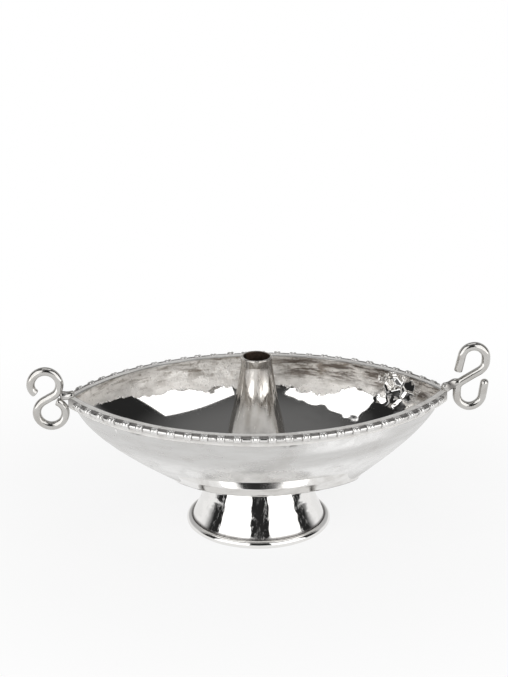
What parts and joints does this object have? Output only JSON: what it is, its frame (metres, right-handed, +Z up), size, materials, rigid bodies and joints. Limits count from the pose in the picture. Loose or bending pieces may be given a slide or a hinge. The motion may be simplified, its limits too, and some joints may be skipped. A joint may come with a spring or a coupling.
{
  "type": "butter lamp",
  "caption": "Boat-shaped metal butter lamp on a round flared foot, with a beaded rim, a scroll handle at each tip and a lift-out wick tube.",
  "frame": {"origin": "on the table, under the axis of the round foot", "axes": "+Z up along the foot's axis, +X along the bowl towards the more open scroll handle"},
  "size_m": [0.2373, 0.12, 0.0968],
  "materials": {
    "silver": "silver-plated brass, polished, hammered inside",
    "tube_silver": "silver-plated brass, polished, slightly warm",
    "fixing_brass": "plain turned brass",
    "leather": "greased leather"
  },
  "bodies": {
    "lamp": {"bowl": "silver", "rim_band_front": "silver", "rim_band_back": "silver", "beaded_wire_front": "silver", "beaded_wire_back": "silver", "scroll_handle_left": "silver", "scroll_handle_right": "silver", "tip_peg_left": "silver", "tip_peg_right": "silver", "foot_collar": "silver", "foot": "silver", "foot_ring": "silver", "foot_bolt": "fixing_brass", "clamp_washer": "fixing_brass", "clamp_nut": "fixing_brass", "sealing_washer": "leather"},
    "wick_holder": {"wick_tube": "tube_silver"}
  },
  "joints": [
    {"name": "wick_tube_lift", "type": "slide", "parent": "lamp", "child": "wick_holder", "axis": [0, 0, 1], "range_m": [0, 0.06]}
  ]
}
